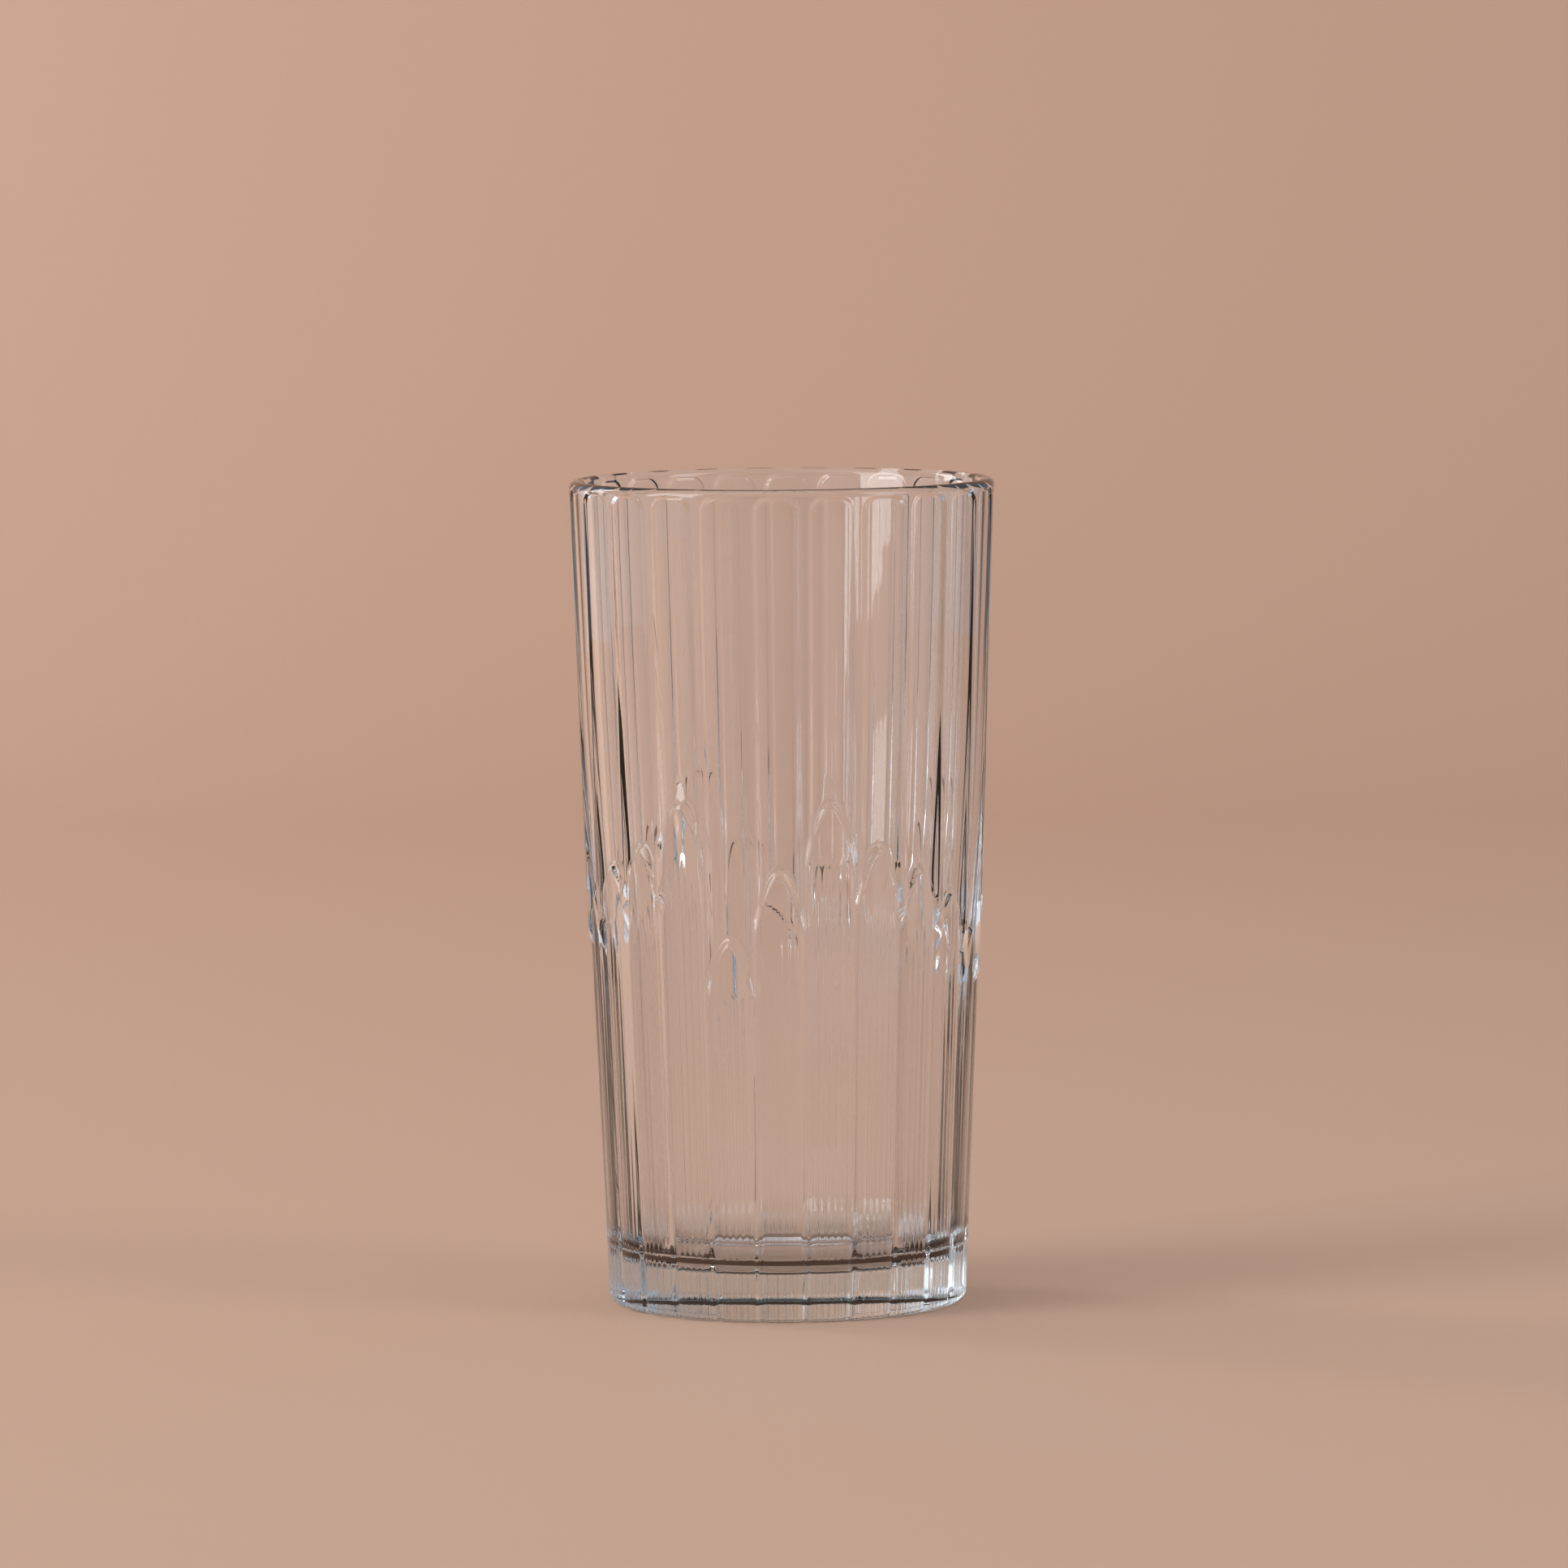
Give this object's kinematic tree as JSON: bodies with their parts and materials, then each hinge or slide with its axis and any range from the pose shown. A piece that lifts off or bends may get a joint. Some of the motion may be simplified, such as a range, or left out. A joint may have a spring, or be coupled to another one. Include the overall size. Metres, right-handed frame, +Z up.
{
  "type": "highball glass",
  "caption": "Tall clear pressed-glass tumbler with flat panels under a plain lip, round-topped columns at stepped heights and a thick solid base.",
  "frame": {"origin": "centre of the resting plane, on the axis of the glass", "axes": "+Z up along the axis of the glass, -Y towards the viewer of the picture, +X to that viewer's right"},
  "size_m": [0.07, 0.07, 0.136],
  "materials": {
    "clear_glass": "gloss"
  },
  "bodies": {
    "root": {"tumbler": "clear_glass"}
  },
  "joints": []
}
